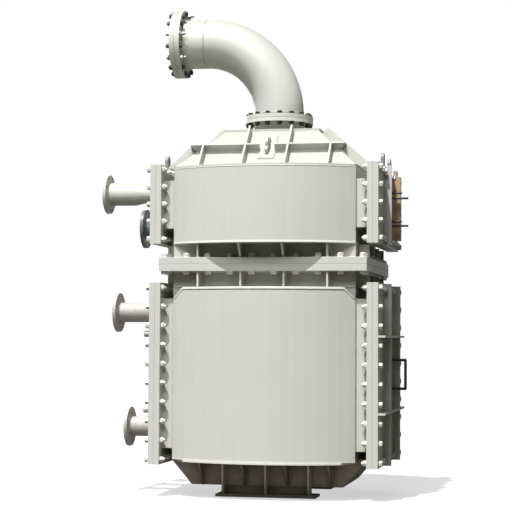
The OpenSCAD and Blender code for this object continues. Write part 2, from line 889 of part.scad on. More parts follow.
// A pipe flange in the XY plane with its face at the top
module pipe_flange(od, t, bore, pcd, count, hole) {
    difference() {
        cylinder(h = t, d = od);
        translate([0, 0, -cut]) cylinder(h = t + 2 * cut, r = bore);
        flange_holes(t, pcd, count, hole);
    }
}

// Bolt holes of a flange, half a pitch from the X axis
module flange_holes(t, pcd, count, hole) {
    for (i = [0 : count - 1]) {
        rotate((i + straddling) * 360 / count) translate([pcd / 2, 0, -cut])
            cylinder(h = t + 2 * cut, d = hole);
    }
}

module gas_flange(t, bore) {
    pipe_flange(gas_flange_od, t, bore, gas_pcd, gas_bolts, gas_hole);
}

// A length of gas pipe up the Z axis
module gas_pipe(len) {
    difference() {
        cylinder(h = len, r = pipe_r);
        translate([0, 0, -cut]) cylinder(h = len + 2 * cut, r = bore_r);
    }
}

// Neck through the roof with its slip-on flange
module roof_nozzle() {
    color(paint) {
        translate([0, 0, z_hood1 - neck_drop]) gas_pipe(neck_drop + roof_neck_h + gas_flange_t);
        translate([0, 0, z_gas0]) gas_flange(gas_flange_t, pipe_r + fit_gap);
    }
}

// Slip-on flange under the elbow, on a short hub
module elbow_flange() {
    color(paint) translate([0, 0, z_gas1]) {
        gas_flange(gas_flange_t, pipe_r + fit_gap);
        gas_pipe(gas_flange_t + hub_l);
    }
}

module elbow_bend() {
    color(paint) translate([-bend_r, 0, z_bend]) rotate([90, 0, 0]) rotate_extrude(angle = 90)
        translate([bend_r, 0]) difference() {
            circle(r = pipe_r);
            circle(r = bore_r);
        }
}

// Straight pipe after the elbow with its slip-on end flange
module elbow_spool() {
    color(paint) translate([-bend_r, 0, z_inlet]) rotate([0, -90, 0]) {
        gas_pipe(spool_l + end_flange_t);
        translate([0, 0, spool_l]) gas_flange(end_flange_t, pipe_r + fit_gap);
    }
}

// Blind disc bolted to the end flange
module blanking_plate() {
    color(paint) translate([x_blank, 0, z_inlet]) rotate([0, -90, 0]) difference() {
        cylinder(h = blank_t, d = gas_flange_od);
        flange_holes(blank_t, gas_pcd, gas_bolts, gas_hole);
    }
}

// A slip-on flange for a water pipe, at a distance up the Z axis
module nozzle_flange(at, pipe) {
    translate([0, 0, at]) pipe_flange(nozzle_flange_od, nozzle_flange_t, pipe / 2 + fit_gap,
        nozzle_pcd, nozzle_bolts, nozzle_hole);
}

// A flanged water nozzle through a left cover, at a height and with a reach beyond the cover
module water_nozzle(z, reach, od) {
    pipe_l = side_t + reach;
    translate([-x_cover0, -nozzle_y, z]) rotate([0, -90, 0]) {
        difference() {
            cylinder(h = pipe_l, d = od);
            translate([0, 0, -cut]) cylinder(h = pipe_l + 2 * cut, r = od / 2 - water_pipe_t);
        }
        nozzle_flange(pipe_l - nozzle_flange_t, od);
    }
}

// Upper outlet: its pipe narrows through a reducer towards the cover
module upper_water_outlet() {
    bore = upper_pipe_od / 2 - water_pipe_t;
    tail_bore = reducer_od / 2 - water_pipe_t;
    cone0 = side_t + tail_l;
    cone1 = cone0 + reducer_l;
    face = side_t + upper_outlet_reach;
    color(paint) translate([-x_cover0, -nozzle_y, upper_side_z + upper_outlet_up]) rotate([0, -90, 0]) {
        difference() {
            union() {
                cylinder(h = cone0, d = reducer_od);
                translate([0, 0, cone0]) cylinder(h = reducer_l, d1 = reducer_od, d2 = upper_pipe_od);
                translate([0, 0, cone1]) cylinder(h = face - cone1, d = upper_pipe_od);
            }
            translate([0, 0, -cut]) cylinder(h = cone0 + cut, r = tail_bore);
            translate([0, 0, cone0]) cylinder(h = reducer_l, r1 = tail_bore, r2 = bore);
            translate([0, 0, cone1]) cylinder(h = face - cone1 + cut, r = bore);
        }
        nozzle_flange(face - nozzle_flange_t, upper_pipe_od);
    }
}

module upper_water_inlet() {
    color(slate) water_nozzle(upper_side_z - upper_inlet_down, upper_inlet_reach, water_pipe_od);
}

module lower_water_outlet() {
    color(bare_metal) water_nozzle(lower_side_z + lower_outlet_up, lower_outlet_reach, water_pipe_od);
}

module lower_water_inlet() {
    color(bare_metal) water_nozzle(lower_side_z - lower_inlet_down, lower_inlet_reach, water_pipe_od);
}

// Plugged couplings for venting and draining the lower water box
module vent_couplings() {
    color(bare_metal) for (z = [-coupling_spread, coupling_spread]) {
        x_rod(-x_cover1 - coupling_reach, -x_cover1, -nozzle_y, lower_side_z + z, coupling_od / 2);
    }
}

// Sheet gaskets in all the bolted joints
module gaskets() {
    color(gasket_grey) {
        window_slab(mid_w, mid_d, collar_in_w, collar_in_d, z_mid1, z_mid2);
        right_and_left() for (side = [[lower_side_z, lower_side_h], [upper_side_z, upper_side_h]]) {
            difference() {
                side_flange(x_sheet1, x_cover0, side[0], side[1]);
                translate([x_sheet1 - cut, -neck_d / 2, side[0] - side[1] / 2 + side_edge])
                    cube([side_gasket_t + 2 * cut, neck_d, side[1] - 2 * side_edge]);
            }
        }
        translate([0, 0, z_gas0 + gas_flange_t]) gas_flange(gas_gasket_t, bore_r);
        translate([x_end_flange - end_flange_t, 0, z_inlet]) rotate([0, -90, 0])
            gas_flange(gas_gasket_t, bore_r);
    }
}

foot_front();
foot_rear();
drain_pan();
pan_ribs();
bottom_plate();
lower_front_plate();
lower_rear_plate();
lower_side_plates();
lower_rim_plate();
side_necks();
lower_tube_sheets();
lower_left_cover();
lower_right_cover();
lower_cover_ribs();
lower_cover_handle();
lower_collar();
collar_gussets();
middle_flange_lower();
middle_flange_upper();
upper_collar();
upper_floor_plate();
upper_front_plate();
upper_rear_plate();
upper_side_plates();
upper_rim_plate();
upper_tube_sheets();
upper_left_cover();
upper_right_cover();
upper_cover_rib();
timber_battens();
clamp_studs();
cover_lugs();
hood();
hood_ribs();
hood_ring();
hood_lugs();
roof_nozzle();
elbow_flange();
elbow_bend();
elbow_spool();
blanking_plate();
upper_water_outlet();
upper_water_inlet();
lower_water_outlet();
lower_water_inlet();
vent_couplings();
gaskets();
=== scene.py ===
import math
import random

import bmesh
import bpy
from mathutils import Matrix, Vector


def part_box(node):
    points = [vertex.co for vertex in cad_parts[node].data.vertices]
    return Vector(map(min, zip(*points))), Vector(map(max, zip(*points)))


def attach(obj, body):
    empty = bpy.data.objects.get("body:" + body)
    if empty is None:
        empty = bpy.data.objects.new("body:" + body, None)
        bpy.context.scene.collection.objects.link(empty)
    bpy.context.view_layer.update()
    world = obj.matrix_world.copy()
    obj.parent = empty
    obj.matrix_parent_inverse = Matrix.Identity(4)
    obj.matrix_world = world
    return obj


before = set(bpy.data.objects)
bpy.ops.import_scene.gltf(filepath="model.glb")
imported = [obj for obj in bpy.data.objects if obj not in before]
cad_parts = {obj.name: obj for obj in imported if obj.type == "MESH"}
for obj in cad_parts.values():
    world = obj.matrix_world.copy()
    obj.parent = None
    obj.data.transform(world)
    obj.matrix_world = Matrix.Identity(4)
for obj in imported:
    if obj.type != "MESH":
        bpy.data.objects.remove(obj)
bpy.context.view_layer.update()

# Feet: two stools of plate, each a sole plate, a web and three tall gussets.
# The gussets stand on the sole and are fillet welded to the pan's wall.
# They carry a paler copy of the vessel's coat, painted light from the floor, with road dust and painted shade
# in every corner.
X_AXIS = Vector((1, 0, 0))
Y_AXIS = Vector((0, 1, 0))
Z_AXIS = Vector((0, 0, 1))


def linear(hex_code):
    """An sRGB hex colour as linear red, green, blue and alpha."""
    channels = [int(hex_code[i:i + 2], 16) / 255 for i in (1, 3, 5)]
    return [c / 12.92 if c <= 0.04045 else ((c + 0.055) / 1.055) ** 2.4 for c in channels] + [1.0]


def add(tree, kind, inputs=None, **settings):
    """Adds a shader node with its settings, and sets or links its inputs by name or number."""
    node = tree.nodes.new(kind)
    for name, value in settings.items():
        setattr(node, name, value)
    for key, value in (inputs or {}).items():
        if isinstance(value, bpy.types.NodeSocket):
            tree.links.new(value, node.inputs[key])
        else:
            node.inputs[key].default_value = value
    return node


def blank_material(name):
    """An empty material with its output node."""
    material = bpy.data.materials.new(name)
    material.use_nodes = True
    material.node_tree.nodes.clear()
    return material, material.node_tree, material.node_tree.nodes.new("ShaderNodeOutputMaterial")


def enamel(name, coat, worn, dust, corner_shading, roughness):
    """Alkyd enamel sprayed on welded plate: a half-gloss coat with a faint orange peel.

    The eye sees one pale colour that drifts a little from plate to plate, soft edges where the
    coat pulls back, faint runs of rain-borne dust, dust mixed with painted shade in corners and
    recesses, and a grey layer of settled dust and painted shade on all faces that look up.
    """
    up_dust_shade = "#94938C"
    drift_size = 0.55
    run_width = 0.045
    run_length = 0.9
    peel_size = 0.010  # the real peel is about 3 mm and would not show
    buckle_size = 0.32
    edge_radius = 0.003
    corner_reach = 0.11
    material, tree, output = blank_material(name)
    place = add(tree, "ShaderNodeTexCoord").outputs["Object"]
    drift = add(tree, "ShaderNodeTexNoise", {"Vector": place, "Scale": 1 / drift_size, "Detail": 3.0})
    runs_place = add(tree, "ShaderNodeMapping", {
        "Vector": place,
        "Scale": (1 / run_width, 1 / run_width, 1 / run_length),
    })
    runs = add(tree, "ShaderNodeTexNoise", {"Vector": runs_place.outputs[0], "Scale": 1.0, "Detail": 2.0})
    runs_share = add(tree, "ShaderNodeMapRange", {
        "Value": runs.outputs["Fac"], "From Min": 0.52, "From Max": 0.78, "To Max": 0.05,
    })
    # The dust colour laid in by ambient occlusion is painted shade in corners and recesses, with real dust.
    corner = add(tree, "ShaderNodeAmbientOcclusion", {"Distance": corner_reach}, samples=6)
    corner_shade_share = add(tree, "ShaderNodeMapRange", {
        "Value": corner.outputs["AO"], "From Min": 0.25, "From Max": 0.85, "To Min": corner_shading, "To Max": 0.0,
    })
    coat_tone = add(tree, "ShaderNodeMix", {
        0: drift.outputs["Fac"], 6: linear(coat), 7: linear(worn),
    }, data_type="RGBA")
    streaked = add(tree, "ShaderNodeMix", {
        0: runs_share.outputs[0], 6: coat_tone.outputs[2], 7: linear(dust),
    }, data_type="RGBA")
    dusted_and_shaded = add(tree, "ShaderNodeMix", {
        0: corner_shade_share.outputs[0], 6: streaked.outputs[2], 7: linear(dust),
    }, data_type="RGBA")
    # Faces that look up get a grey layer: settled dust and painted shade that holds back the key light.
    facing = add(tree, "ShaderNodeSeparateXYZ", {0: add(tree, "ShaderNodeNewGeometry").outputs["Normal"]})
    up_dust_shade_share = add(tree, "ShaderNodeMapRange", {
        "Value": facing.outputs["Z"], "From Min": 0.2, "From Max": 0.8, "To Max": 0.55,
    })
    up_dust_shaded = add(tree, "ShaderNodeMix", {
        0: up_dust_shade_share.outputs[0], 6: dusted_and_shaded.outputs[2], 7: linear(up_dust_shade),
    }, data_type="RGBA")
    gloss = add(tree, "ShaderNodeMapRange", {
        "Value": drift.outputs["Fac"], "To Min": roughness - 0.06, "To Max": roughness + 0.10,
    })
    edge = add(tree, "ShaderNodeBevel", {"Radius": edge_radius}, samples=4)
    buckle = add(tree, "ShaderNodeTexNoise", {"Vector": place, "Scale": 1 / buckle_size, "Detail": 1.0})
    buckle_bump = add(tree, "ShaderNodeBump", {
        "Height": buckle.outputs["Fac"], "Distance": 0.004, "Strength": 0.6, "Normal": edge.outputs[0],
    })
    peel = add(tree, "ShaderNodeTexNoise", {"Vector": place, "Scale": 1 / peel_size, "Detail": 1.0})
    peel_bump = add(tree, "ShaderNodeBump", {
        "Height": peel.outputs["Fac"], "Distance": 0.0004, "Strength": 0.5, "Normal": buckle_bump.outputs[0],
    })
    shader = add(tree, "ShaderNodeBsdfPrincipled", {
        "Base Color": up_dust_shaded.outputs[2], "Roughness": gloss.outputs[0], "Normal": peel_bump.outputs[0],
    })
    tree.links.new(shader.outputs[0], output.inputs[0])
    return material


def dress(material, *names):
    """Gives CAD nodes their finish."""
    for name in names:
        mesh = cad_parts[name].data
        mesh.materials.clear()
        mesh.materials.append(material)


def new_stock():
    """Loose faces that will become one piece."""
    return {"points": [], "faces": []}


def build(name, stock, material, sharp=40):
    """Makes one piece of the stock, which rides on the vessel."""
    mesh = bpy.data.meshes.new(name)
    mesh.from_pydata([tuple(p) for p in stock["points"]], [], stock["faces"])
    work = bmesh.new()
    work.from_mesh(mesh)
    bmesh.ops.recalc_face_normals(work, faces=work.faces)
    work.to_mesh(mesh)
    work.free()
    mesh.shade_smooth()
    mesh.set_sharp_from_angle(angle=math.radians(sharp))
    mesh.materials.append(material)
    piece = bpy.data.objects.new(name, mesh)
    bpy.context.scene.collection.objects.link(piece)
    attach(piece, "root")
    return piece


def skin(stock, rings, closed=False):
    """Joins rings of points into a tube, with its ends capped unless it closes on itself."""
    first = len(stock["points"])
    sides = len(rings[0])
    for ring in rings:
        stock["points"].extend(ring)
    count = len(rings)
    for i in range(count if closed else count - 1):
        here = first + i * sides
        there = first + (i + 1) % count * sides
        for j in range(sides):
            k = (j + 1) % sides
            stock["faces"].append((here + j, here + k, there + k, there + j))
    if not closed:
        last = first + (count - 1) * sides
        stock["faces"].append(tuple(range(first + sides - 1, first - 1, -1)))
        stock["faces"].append(tuple(range(last, last + sides)))


def bead(stock, stations, leg, closed=False):
    """A weld bead: each station is a point, the directions of its two legs, and its crown.

    The ripples of the passes are drawn three times as long as they are, so that they show.
    A bead's root is sunk into its corner, or into the face that it lies on.
    """
    swell = 1.05
    shrink = 0.92
    corner_sink = 0.2
    face_sink = 0.4
    rings = []
    for i, (point, first, second, crown) in enumerate(stations):
        size = leg * (swell if i % 2 else shrink)
        in_corner = (first + second).length > 0.1
        sink = (first + second) * corner_sink if in_corner else crown * face_sink
        rings.append([
            point - sink * size, point + first * size, point + crown * size, point + second * size,
        ])
    skin(stock, rings, closed)


RIPPLE = 0.011
FILLET_CROWN = 0.6


def fillet(stock, start, end, first, second, leg):
    """A straight fillet weld in the corner between two faces."""
    count = max(2, round((end - start).length / RIPPLE))
    crown = (first + second) * FILLET_CROWN
    bead(stock, [(start.lerp(end, i / count), first, second, crown) for i in range(count + 1)], leg)


def rib_welds(stock, start, end, across, half, out, leg):
    """Fillet welds on both sides of a flat bar that stands on a plate."""
    for side in (-1, 1):
        shift = across * side * half
        fillet(stock, start + shift, end + shift, across * side, out, leg)


def pipe_fillet(stock, centre, axis, radius, leg):
    """A fillet weld round a pipe that leaves a plate along an axis."""
    u = axis.orthogonal().normalized()
    v = axis.cross(u)
    count = 2 * round(math.pi * radius / RIPPLE)
    stations = []
    for i in range(count):
        turn = 2 * math.pi * i / count
        out = u * math.cos(turn) + v * math.sin(turn)
        stations.append((centre + out * radius, out, axis, (out + axis) * FILLET_CROWN))
    bead(stock, stations, leg, closed=True)


# The vessel's own coat, the pan's coat under road dust and painted shade, and a paler coat for the feet,
# painted light from the floor.
shell_enamel = enamel("grey_enamel", "#CFD0C9", "#C8C9C1", "#85816F", corner_shading=0.55, roughness=0.42)
pan_dust_and_shade_enamel = enamel("grey_enamel_dusty_shaded", "#BDB6AA", "#B2A99B", "#42352A", corner_shading=0.9, roughness=0.55)
feet_painted_light_enamel = enamel("grey_enamel_painted_floor_light", "#E6E1D6", "#DAD4C7", "#54473A", corner_shading=0.8, roughness=0.55)

small_leg = 0.006
rib_half = 0.007
sole_t = 0.018
web_y = 0.357
gusset_foot_y = 0.455
rib_pitch_x = 0.300
pan_lo, pan_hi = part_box("drain_pan")
stock = new_stock()
for rear in (-1, 1):
    out = Y_AXIS * rear
    for x in (-rib_pitch_x, 0, rib_pitch_x):
        rib_welds(stock, Vector((x, rear * gusset_foot_y, sole_t)), Vector((x, rear * web_y, sole_t)),
                  X_AXIS, rib_half, Z_AXIS, small_leg)
        rib_welds(stock, Vector((x, rear * pan_hi.y, pan_lo.z)), Vector((x, rear * pan_hi.y, pan_hi.z)),
                  X_AXIS, rib_half, out, small_leg)
    rib_welds(stock,
              Vector((-rib_pitch_x, rear * web_y, sole_t)), Vector((rib_pitch_x, rear * web_y, sole_t)),
              Y_AXIS, rib_half, Z_AXIS, small_leg)
# The feet's paler coat is painted light thrown up from the floor.
dress(feet_painted_light_enamel, "foot_front", "foot_rear")
build("foot_welds", stock, feet_painted_light_enamel)

# Drain pan: a trough of 12 mm plate with sloping ends and tapered ribs, under the bottom plate.
# Its upper edge and its ribs are welded to the bottom plate.
rib_steps = (-1.5, -0.5, 0.5, 1.5)
stock = new_stock()
for rear in (-1, 1):
    out = Y_AXIS * rear
    wall_y = rear * pan_hi.y
    for step in rib_steps:
        x = step * rib_pitch_x
        rib_welds(stock, Vector((x, wall_y, pan_lo.z)), Vector((x, wall_y, pan_hi.z)),
                  X_AXIS, rib_half, out, small_leg)
    fillet(stock, Vector((pan_lo.x, wall_y, pan_hi.z)), Vector((pan_hi.x, wall_y, pan_hi.z)),
           out, -Z_AXIS, small_leg)
# The pan's dark corners are road dust and painted shade under the shell.
dress(pan_dust_and_shade_enamel, "drain_pan")
# The ribs under the bottom plate get a darker coat: caked dust and painted shade from the plate above.
dress(enamel("grey_enamel_caked_shaded", "#948C80", "#877E71", "#3A2E24", corner_shading=0.9, roughness=0.6),
      "pan_ribs")
build("pan_welds", stock, pan_dust_and_shade_enamel)

# Shells: two boxes of 12 mm plate with rolled front and rear plates, one over the other.
# Rim plates close the rolled segments. Thick ground welds run along the two rims that face each other,
# and a thin seam along the top one.
lower_lo, lower_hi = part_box("lower_front_plate")
upper_lo, upper_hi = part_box("upper_front_plate")
half_w = lower_hi.x
corner_y = -lower_hi.y
bulge = -lower_lo.y - corner_y
arc_r = (half_w ** 2 + bulge ** 2) / (2 * bulge)
arc_y = corner_y + bulge - arc_r
rim_h = 0.016
corner_cut = 0.075


def arc_point(x, rear, z):
    """A point on the rolled plates, and the direction that it faces."""
    out = Vector((x, rear * math.sqrt(arc_r ** 2 - x ** 2), 0)) / arc_r
    return Vector((x, rear * (math.sqrt(arc_r ** 2 - x ** 2) + arc_y), z)), out


def rim_weld(stock, rear, z, reach, leg, crown, drop=0.0):
    """A weld along a rim, fullest at its lower edge. Where it drops, it turns down over snipped corners."""
    count = 90
    tail_count = 8
    sag = 0.6
    stations = []
    for i in range(count + 1):
        x = -reach + 2 * reach * i / count
        point, out = arc_point(x, rear, z)
        stations.append((point, Z_AXIS, -Z_AXIS, out * crown - Z_AXIS * sag))
    if drop:
        for end in (-1, 1):
            tail = []
            for i in range(1, tail_count + 1):
                fall = drop * i / tail_count
                point, out = arc_point(end * (reach + fall), rear, z - fall)
                slope = Vector((end, 0, 1)).normalized()
                tail.append((point, slope, -slope, out * crown - slope * sag))
            stations = tail[::-1] + stations if end < 0 else stations + tail
    bead(stock, stations, leg)


corner_leg = 0.008
flat_share = 0.5  # a corner weld is ground low, so it lies flat along both plates
proud_share = 0.2
rim_leg = 0.0095
rim_crown = 0.4
seam_leg = 0.003
seam_crown = 0.5
snip_drop = corner_cut - 0.006  # the weld ends just short of the snip's lower end
stock = new_stock()
for rear in (-1, 1):
    rim_weld(stock, rear, lower_hi.z + rim_h / 2, half_w - corner_cut, rim_leg, rim_crown, snip_drop)
    rim_weld(stock, rear, upper_lo.z - rim_h / 2, half_w, rim_leg, rim_crown)
    rim_weld(stock, rear, upper_hi.z, half_w, seam_leg, seam_crown)
    for side in (-1, 1):
        corner = Vector((side * half_w, rear * corner_y, 0))
        for z0, z1 in ((lower_lo.z, lower_hi.z - corner_cut), (upper_lo.z, upper_hi.z)):
            fillet(stock, corner + Z_AXIS * z0, corner + Z_AXIS * z1,
                   Vector((-side * flat_share, rear * proud_share, 0)),
                   Vector((side * proud_share, -rear * flat_share, 0)), corner_leg)
dress(shell_enamel, "lower_front_plate", "lower_rear_plate", "lower_side_plates", "lower_rim_plate",
      "upper_floor_plate", "upper_front_plate", "upper_rear_plate", "upper_side_plates", "upper_rim_plate")
# The bottom plate gets a paler coat with less dust in its corners, so its edge shows as a pale band.
dress(enamel("grey_enamel_pale_band", "#DDDDD6", "#D5D5CD", "#85816F", corner_shading=0.4, roughness=0.42),
      "bottom_plate")
build("shell_welds", stock, shell_enamel)

# Necks and tube sheets: short rectangular ducts that carry the 38 mm tube sheets.
# Each neck is fillet welded to the shell and to its tube sheet.
neck_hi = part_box("side_necks")[1]
side_edge = 0.110
neck_leg = 0.009
flange_boxes = [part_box("lower_right_cover"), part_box("upper_right_cover")]
stock = new_stock()
for side in (-1, 1):
    along = X_AXIS * side
    for lo, hi in flange_boxes:
        z0 = lo.z + side_edge
        z1 = hi.z - side_edge
        for x, way in ((neck_hi.x, -along), (half_w, along)):
            for rear in (-1, 1):
                fillet(stock,
                       Vector((side * x, rear * neck_hi.y, z0)), Vector((side * x, rear * neck_hi.y, z1)),
                       Y_AXIS * rear, way, neck_leg)
            for z, up in ((z0, -Z_AXIS), (z1, Z_AXIS)):
                fillet(stock, Vector((side * x, -neck_hi.y, z)), Vector((side * x, neck_hi.y, z)),
                       up, way, neck_leg)
dress(shell_enamel, "side_necks", "lower_tube_sheets", "upper_tube_sheets", "lower_left_cover",
      "lower_right_cover", "upper_left_cover", "upper_right_cover")
build("neck_welds", stock, shell_enamel)

# Side flange bolts: hexagon bolts through covers, gaskets and tube sheets, painted over with the vessel.
# Heads are on the covers, and nuts with a few threads showing are on the shell's side.
bolt_d = 0.024
bolt_flats = 0.036
head_h = 0.024
nut_h = 0.021
washer_t = 0.004
thread_out = 0.011
washer_share = 0.61  # radius of a washer for each width across flats
random.seed(41)


def turned(stock, base, axis, profile, sides):
    """A turned shape along an axis: the profile lists radius and height."""
    u = axis.orthogonal().normalized()
    v = axis.cross(u)
    rings = []
    for radius, height in profile:
        ring = []
        for i in range(sides):
            turn = 2 * math.pi * i / sides
            ring.append(base + axis * height + (u * math.cos(turn) + v * math.sin(turn)) * radius)
        rings.append(ring)
    skin(stock, rings)


def hexagon(stock, base, axis, flats, height):
    """A hexagon head or nut with its corners chamfered, turned by chance."""
    u = axis.orthogonal().normalized()
    v = axis.cross(u)
    spin = random.uniform(0, math.pi / 3)
    inner = flats / 2
    outer = flats / math.sqrt(3)
    face_r = inner * 0.93
    corner_fall = 0.12 * flats  # the chamfer takes more off the corners than off the flats
    flat_fall = 0.2 * corner_fall
    rings = []
    for corner_up, flat_up, corner_r, flat_r in (
        (0, 0, outer, inner),
        (height - corner_fall, height - flat_fall, outer, inner),
        (height, height, face_r, face_r),
    ):
        ring = []
        for i in range(12):
            turn = spin + math.pi * i / 6
            up, radius = (flat_up, flat_r) if i % 2 else (corner_up, corner_r)
            ring.append(base + axis * up + (u * math.cos(turn) + v * math.sin(turn)) * radius)
        rings.append(ring)
    skin(stock, rings)


def washer(stock, base, axis, radius, thickness):
    """A round washer with a broken edge; gives the point on its far face."""
    sunk = 0.001
    turned(stock, base - axis * sunk, axis,
           [(radius, 0), (radius, thickness), (radius - sunk, thickness + sunk)], sides=20)
    return base + axis * thickness


def bolt_head(stock, base, axis, flats, height):
    """A washer with a bolt head on it."""
    hexagon(stock, washer(stock, base, axis, flats * washer_share, washer_t), axis, flats, height)


def nut_end(stock, base, axis, flats, height, diameter, thread):
    """A washer with a nut on it and the end of the thread showing."""
    seat = washer(stock, base, axis, flats * washer_share, washer_t)
    hexagon(stock, seat, axis, flats, height)
    chamfer = 0.002
    turned(stock, seat + axis * (height - chamfer), axis, [
        (diameter / 2, 0), (diameter / 2, thread), (diameter / 2 - chamfer, thread + chamfer),
    ], sides=14)


def bolt_paint(name, coat, dust):
    """Brushed enamel or primer: thicker and glossier than the sprayed coat, with soft brush marks."""
    material, tree, output = blank_material(name)
    brush_size = 0.02
    place = add(tree, "ShaderNodeTexCoord").outputs["Object"]
    tone = add(tree, "ShaderNodeTexNoise", {"Vector": place, "Scale": 1 / brush_size, "Detail": 2.0})
    colour = add(tree, "ShaderNodeMix", {
        0: tone.outputs["Fac"], 6: linear(coat), 7: linear(dust),
    }, data_type="RGBA")
    gloss = add(tree, "ShaderNodeMapRange", {"Value": tone.outputs["Fac"], "To Min": 0.25, "To Max": 0.45})
    edge = add(tree, "ShaderNodeBevel", {"Radius": 0.002}, samples=4)
    bump = add(tree, "ShaderNodeBump", {
        "Height": tone.outputs["Fac"], "Distance": 0.001, "Strength": 0.5, "Normal": edge.outputs[0],
    })
    shader = add(tree, "ShaderNodeBsdfPrincipled", {
        "Base Color": colour.outputs[2], "Roughness": gloss.outputs[0], "Normal": bump.outputs[0],
    })
    tree.links.new(shader.outputs[0], output.inputs[0])
    return material


bolt_enamel = bolt_paint("grey_enamel_brushed", "#DCDCD6", "#C9C8BF")
column_edge = 0.030
row_edge = 0.040
cover_x = flange_boxes[0][1].x
sheet_x = neck_hi.x
column_bolts = [(10, 0.1314), (5, 0.121)]  # number and spacing, lower and upper flanges
row_count = 10
stock = new_stock()
for (lo, hi), (count, pitch) in zip(flange_boxes, column_bolts):
    mid_z = (lo.z + hi.z) / 2
    column_y = hi.y - column_edge
    places = []
    for i in range(count):
        z = mid_z + (i - (count - 1) / 2) * pitch
        places += [(-column_y, z), (column_y, z)]
    for i in range(1, row_count - 1):
        y = (i / (row_count - 1) * 2 - 1) * column_y
        places += [(y, lo.z + row_edge), (y, hi.z - row_edge)]
    for side in (-1, 1):
        for y, z in places:
            bolt_head(stock, Vector((side * cover_x, y, z)), X_AXIS * side, bolt_flats, head_h)
            nut_end(stock, Vector((side * sheet_x, y, z)), X_AXIS * -side,
                    bolt_flats, nut_h, bolt_d, thread_out)
build("side_flange_bolts", stock, bolt_enamel, sharp=30)

# Collars and middle flanges: low walls between the shells, with gussets to two thick flanges.
# Gussets, collars and flanges are fillet welded; the flanges are bolted over a sheet gasket.
mid_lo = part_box("middle_flange_lower")[0]
mid_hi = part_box("middle_flange_upper")[1]
low_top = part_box("lower_collar")[0].z
up_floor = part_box("upper_collar")[1].z
collar_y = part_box("lower_collar")[1].y
rib_pitch_y = 0.275
gusset_back = 0.011
stock = new_stock()
for sign in (-1, 1):
    for step in rib_steps:
        for z0, z1, flange_z in ((low_top, mid_lo.z, mid_lo.z), (mid_hi.z, up_floor, mid_hi.z)):
            up = Z_AXIS if flange_z == mid_hi.z else -Z_AXIS
            x = step * rib_pitch_x
            y = step * rib_pitch_y
            front = Vector((x, sign * collar_y, 0))
            flank = Vector((sign * half_w, y, 0))
            rib_welds(stock, front + Z_AXIS * z0, front + Z_AXIS * z1,
                      X_AXIS, rib_half, Y_AXIS * sign, small_leg)
            rib_welds(stock, flank + Z_AXIS * z0, flank + Z_AXIS * z1,
                      Y_AXIS, rib_half, X_AXIS * sign, small_leg)
            tip = Vector((x, sign * (mid_hi.y - gusset_back), 0))
            rib_welds(stock, front + Z_AXIS * flange_z, tip + Z_AXIS * flange_z,
                      X_AXIS, rib_half, up, small_leg)
    for z, up in ((mid_lo.z, -Z_AXIS), (mid_hi.z, Z_AXIS), (low_top, Z_AXIS), (up_floor, -Z_AXIS)):
        fillet(stock, Vector((-half_w, sign * collar_y, z)), Vector((half_w, sign * collar_y, z)),
               Y_AXIS * sign, up, corner_leg)
        fillet(stock, Vector((sign * half_w, -collar_y, z)), Vector((sign * half_w, collar_y, z)),
               X_AXIS * sign, up, corner_leg)
dress(shell_enamel, "upper_collar", "collar_gussets", "middle_flange_lower", "middle_flange_upper")
# The lower collar gets a darker, dustier coat, painted shade under the middle flange.
dress(enamel("grey_enamel_grimy_shaded", "#B9BAB2", "#AEAFA6", "#6B6657", corner_shading=0.6, roughness=0.45),
      "lower_collar")
build("collar_welds", stock, shell_enamel)

# Middle flange bolts: hexagon bolts one size larger than the side ones, heads down and nuts up.
# They are brushed over by hand, and the heads under the flange get a whiter coat, painted light thrown up
# from below.
mid_flats = 0.041
mid_bolt_d = 0.027
mid_head_h = 0.018
mid_nut_h = 0.024
mid_thread = 0.003
mid_row_x = 0.690
mid_row_y = 0.598
mid_row_count = 10
flank_count = 8
flank_pitch = rib_pitch_y / 2
places = []
for i in range(mid_row_count):
    x = (i / (mid_row_count - 1) * 2 - 1) * mid_row_x
    places += [(x, -mid_row_y), (x, mid_row_y)]
for i in range(flank_count):
    y = (i - (flank_count - 1) / 2) * flank_pitch
    places += [(-mid_row_x, y), (mid_row_x, y)]
nut_stock = new_stock()
head_stock = new_stock()
for x, y in places:
    nut_end(nut_stock, Vector((x, y, mid_hi.z)), Z_AXIS, mid_flats, mid_nut_h, mid_bolt_d, mid_thread)
    bolt_head(head_stock, Vector((x, y, mid_lo.z)), -Z_AXIS, mid_flats, mid_head_h)
build("middle_flange_nuts", nut_stock, bolt_enamel, sharp=30)
# The heads' whiter coat is painted light from below.
heads_painted_light_enamel = bolt_paint("white_enamel_painted_uplight", "#F7F7F3", "#EBEBE5")
build("middle_flange_heads", head_stock, heads_painted_light_enamel, sharp=30)

# Hood: four sloping plates under a flat roof plate, stiffened by flat bars and a ring of flat bar.
# A lifting lug stands on a doubler plate in the middle of the front and the rear slope.
# All of it is fillet welded, and the hips and the brow under the roof are ground low.
hood_lo, hood_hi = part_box("hood")
roof_half_w = 0.340
roof_half_d = 0.285
roof_t = 0.020
ring_h = 0.118
slope_h = hood_hi.z - hood_lo.z - roof_t
ring_share = ring_h / slope_h
lug_up = 0.029
doubler_half_w = 0.053
doubler_half_l = 0.125
doubler_t = 0.010
lug_half_t = 0.010
lug_half_l = 0.078
hip_leg = 0.005
hip_flat = 0.5
hip_rise = 0.25
brow_leg = 0.003
flanks = [
    (X_AXIS, Y_AXIS * -1, hood_hi.x, hood_hi.y, roof_half_w, roof_half_d, rib_pitch_x),
    (X_AXIS, Y_AXIS, hood_hi.x, hood_hi.y, roof_half_w, roof_half_d, rib_pitch_x),
    (Y_AXIS, X_AXIS * -1, hood_hi.y, hood_hi.x, roof_half_d, roof_half_w, rib_pitch_y),
    (Y_AXIS, X_AXIS, hood_hi.y, hood_hi.x, roof_half_d, roof_half_w, rib_pitch_y),
]
stock = new_stock()
